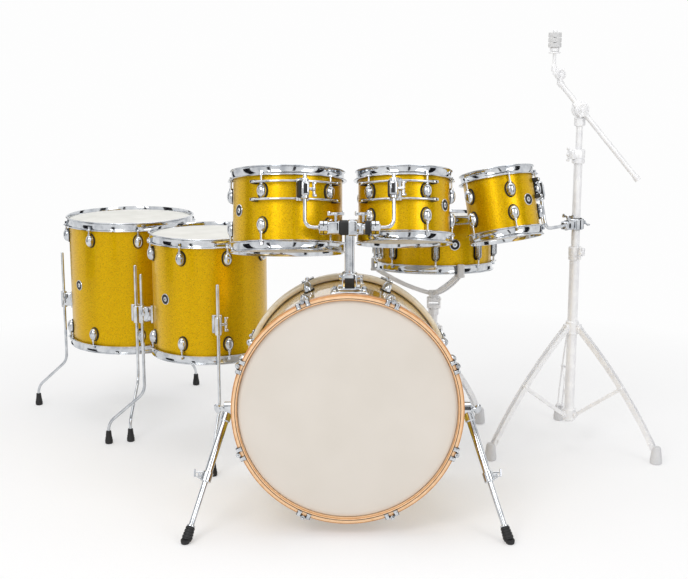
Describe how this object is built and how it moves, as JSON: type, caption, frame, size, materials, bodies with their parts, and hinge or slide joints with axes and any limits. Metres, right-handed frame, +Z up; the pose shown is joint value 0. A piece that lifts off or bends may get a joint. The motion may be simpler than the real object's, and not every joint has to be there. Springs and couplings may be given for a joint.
{
  "type": "drum kit",
  "caption": "Acoustic drum kit: bass drum with tom holder and spurs, rack and floor toms, snare drum on its stand, and a boom cymbal stand that also carries a small tom",
  "frame": {"origin": "on the floor under the middle of the kit's bounding box", "axes": "+X to the right as the audience sees the kit, +Y towards the drummer, +Z up"},
  "size_m": [2.0272, 1.5038, 1.2752],
  "materials": {
    "shell_lacquer": "gloss lacquer with fine sparkle over a wooden shell",
    "chrome": "polished chrome",
    "drum_head": "coated polyester film",
    "hoop_wood": "clear gloss on amber maple",
    "satin_steel": "pale satin",
    "snare_steel": "bright steel wire"
  },
  "bodies": {
    "kit": {"bass_shell": "shell_lacquer", "bass_batter_head": "drum_head", "bass_batter_hoop": "hoop_wood", "bass_resonant_head": "drum_head", "bass_resonant_hoop": "hoop_wood", "tom_holder_base": "chrome", "floor_tom_16_shell": "shell_lacquer", "floor_tom_16_batter_head": "drum_head", "floor_tom_16_batter_hoop": "chrome", "floor_tom_16_resonant_head": "drum_head", "floor_tom_16_resonant_hoop": "chrome", "floor_tom_14_shell": "shell_lacquer", "floor_tom_14_batter_head": "drum_head", "floor_tom_14_batter_hoop": "chrome", "floor_tom_14_resonant_head": "drum_head", "floor_tom_14_resonant_hoop": "chrome", "snare_stand_base": "satin_steel", "boom_stand_base": "satin_steel"},
    "spur_left_tube_body": {"spur_left_tube": "chrome"},
    "spur_left_leg_body": {"spur_left_leg": "chrome"},
    "spur_right_tube_body": {"spur_right_tube": "chrome"},
    "spur_right_leg_body": {"spur_right_leg": "chrome"},
    "holder_post_body": {"tom_holder_post": "chrome"},
    "tom_arm_left_body": {"tom_arm_left": "chrome"},
    "tom_12_body": {"tom_12_shell": "shell_lacquer", "tom_12_batter_head": "drum_head", "tom_12_batter_hoop": "chrome", "tom_12_resonant_head": "drum_head", "tom_12_resonant_hoop": "chrome"},
    "tom_arm_right_body": {"tom_arm_right": "chrome"},
    "tom_10_body": {"tom_10_shell": "shell_lacquer", "tom_10_batter_head": "drum_head", "tom_10_batter_hoop": "chrome", "tom_10_resonant_head": "drum_head", "tom_10_resonant_hoop": "chrome"},
    "floor_tom_16_leg_1_body": {"floor_tom_16_leg_1": "chrome"},
    "floor_tom_16_leg_2_body": {"floor_tom_16_leg_2": "chrome"},
    "floor_tom_16_leg_3_body": {"floor_tom_16_leg_3": "chrome"},
    "floor_tom_14_leg_1_body": {"floor_tom_14_leg_1": "chrome"},
    "floor_tom_14_leg_2_body": {"floor_tom_14_leg_2": "chrome"},
    "floor_tom_14_leg_3_body": {"floor_tom_14_leg_3": "chrome"},
    "snare_stem_body": {"snare_stand_stem": "satin_steel"},
    "snare_body": {"snare_basket": "satin_steel", "snare_shell": "shell_lacquer", "snare_batter_head": "drum_head", "snare_batter_hoop": "chrome", "snare_resonant_head": "drum_head", "snare_resonant_hoop": "chrome"},
    "strainer_lever_body": {"snare_strainer_lever": "chrome"},
    "snare_wire_body": {"snare_wires": "snare_steel"},
    "middle_tube_body": {"boom_stand_middle_tube": "satin_steel"},
    "upper_tube_body": {"boom_stand_upper_tube": "satin_steel"},
    "boom_body": {"boom": "satin_steel"},
    "cymbal_tilter_body": {"cymbal_tilter": "satin_steel"},
    "tom_clamp_body": {"tom_clamp": "chrome"},
    "tom_8_body": {"tom_8_shell": "shell_lacquer", "tom_8_batter_head": "drum_head", "tom_8_batter_hoop": "chrome", "tom_8_resonant_head": "drum_head", "tom_8_resonant_hoop": "chrome"}
  },
  "joints": [
    {"name": "spur_left_swing", "type": "hinge", "parent": "kit", "child": "spur_left_tube_body", "pos_m": [-0.24267, -0.55385, 0.2983], "axis": [1, 0, 0], "range_deg": [0, 75]},
    {"name": "spur_left_extend", "type": "slide", "parent": "spur_left_tube_body", "child": "spur_left_leg_body", "axis": [-0.2685, -0.5097, -0.8174], "range_m": [-0.06, 0.03]},
    {"name": "spur_right_swing", "type": "hinge", "parent": "kit", "child": "spur_right_tube_body", "pos_m": [0.38133, -0.55385, 0.2983], "axis": [1, 0, 0], "range_deg": [0, 75]},
    {"name": "spur_right_extend", "type": "slide", "parent": "spur_right_tube_body", "child": "spur_right_leg_body", "axis": [0.2685, -0.5097, -0.8174], "range_m": [-0.06, 0.03]},
    {"name": "holder_height", "type": "slide", "parent": "kit", "child": "holder_post_body", "axis": [0, 0, 1], "range_m": [-0.02, 0.05]},
    {"name": "tom_12_tilt", "type": "hinge", "parent": "holder_post_body", "child": "tom_arm_left_body", "pos_m": [0.07433, -0.47185, 0.766], "axis": [1, 0, 0], "range_deg": [-3, 10]},
    {"name": "tom_12_height", "type": "slide", "parent": "tom_arm_left_body", "child": "tom_12_body", "axis": [0, 0.225, 0.9744], "range_m": [-0.02, 0.03]},
    {"name": "tom_10_tilt", "type": "hinge", "parent": "holder_post_body", "child": "tom_arm_right_body", "pos_m": [0.07433, -0.47185, 0.766], "axis": [1, 0, 0], "range_deg": [-3, 10]},
    {"name": "tom_10_height", "type": "slide", "parent": "tom_arm_right_body", "child": "tom_10_body", "axis": [0, 0.2419, 0.9703], "range_m": [-0.02, 0.03]},
    {"name": "floor_tom_16_leg_1_height", "type": "slide", "parent": "kit", "child": "floor_tom_16_leg_1_body", "axis": [0, 0, 1], "range_m": [-0.12, 0.1]},
    {"name": "floor_tom_16_leg_2_height", "type": "slide", "parent": "kit", "child": "floor_tom_16_leg_2_body", "axis": [0, 0, 1], "range_m": [-0.12, 0.1]},
    {"name": "floor_tom_16_leg_3_height", "type": "slide", "parent": "kit", "child": "floor_tom_16_leg_3_body", "axis": [0, 0, 1], "range_m": [-0.12, 0.1]},
    {"name": "floor_tom_14_leg_1_height", "type": "slide", "parent": "kit", "child": "floor_tom_14_leg_1_body", "axis": [0, 0, 1], "range_m": [-0.12, 0.1]},
    {"name": "floor_tom_14_leg_2_height", "type": "slide", "parent": "kit", "child": "floor_tom_14_leg_2_body", "axis": [0, 0, 1], "range_m": [-0.12, 0.1]},
    {"name": "floor_tom_14_leg_3_height", "type": "slide", "parent": "kit", "child": "floor_tom_14_leg_3_body", "axis": [0, 0, 1], "range_m": [-0.12, 0.1]},
    {"name": "snare_height", "type": "slide", "parent": "kit", "child": "snare_stem_body", "axis": [0, 0, 1], "range_m": [-0.045, 0.03]},
    {"name": "snare_tilt", "type": "hinge", "parent": "snare_stem_body", "child": "snare_body", "pos_m": [0.34333, 0.16015, 0.45355], "axis": [1, 0, 0], "range_deg": [-8, 2]},
    {"name": "strainer_throw", "type": "hinge", "parent": "snare_body", "child": "strainer_lever_body", "pos_m": [0.15511, 0.08824, 0.59052], "axis": [0.342, -0.9368, 0.0737], "range_deg": [0, 80]},
    {"name": "snare_wire_drop", "type": "slide", "parent": "snare_body", "child": "snare_wire_body", "axis": [0, -0.0785, -0.9969], "range_m": [0, 0.003]},
    {"name": "middle_tube_height", "type": "slide", "parent": "kit", "child": "middle_tube_body", "axis": [0, 0, 1], "range_m": [-0.02, 0.1]},
    {"name": "upper_tube_height", "type": "slide", "parent": "middle_tube_body", "child": "upper_tube_body", "axis": [0, 0, 1], "range_m": [-0.03, 0.07]},
    {"name": "boom_tilt", "type": "hinge", "parent": "upper_tube_body", "child": "boom_body", "pos_m": [0.75933, 0.00415, 1.045], "axis": [0, 1, 0], "range_deg": [-30, 10]},
    {"name": "cymbal_tilt", "type": "hinge", "parent": "boom_body", "child": "cymbal_tilter_body", "pos_m": [0.69156, -0.01215, 1.1472], "axis": [0, 1, 0], "range_deg": [-30, 30]},
    {"name": "tom_8_swing", "type": "hinge", "parent": "middle_tube_body", "child": "tom_clamp_body", "pos_m": [0.75933, 0.02815, 0.703], "axis": [0, 0, 1], "range_deg": [-2, 25]},
    {"name": "tom_8_height", "type": "slide", "parent": "tom_clamp_body", "child": "tom_8_body", "axis": [-0.1434, 0.2419, 0.9596], "range_m": [-0.02, 0.03]}
  ],
  "couplings": [
    {"joint": "snare_wire_drop", "follows": "strainer_throw", "m_per_rad": 0.0021}
  ]
}
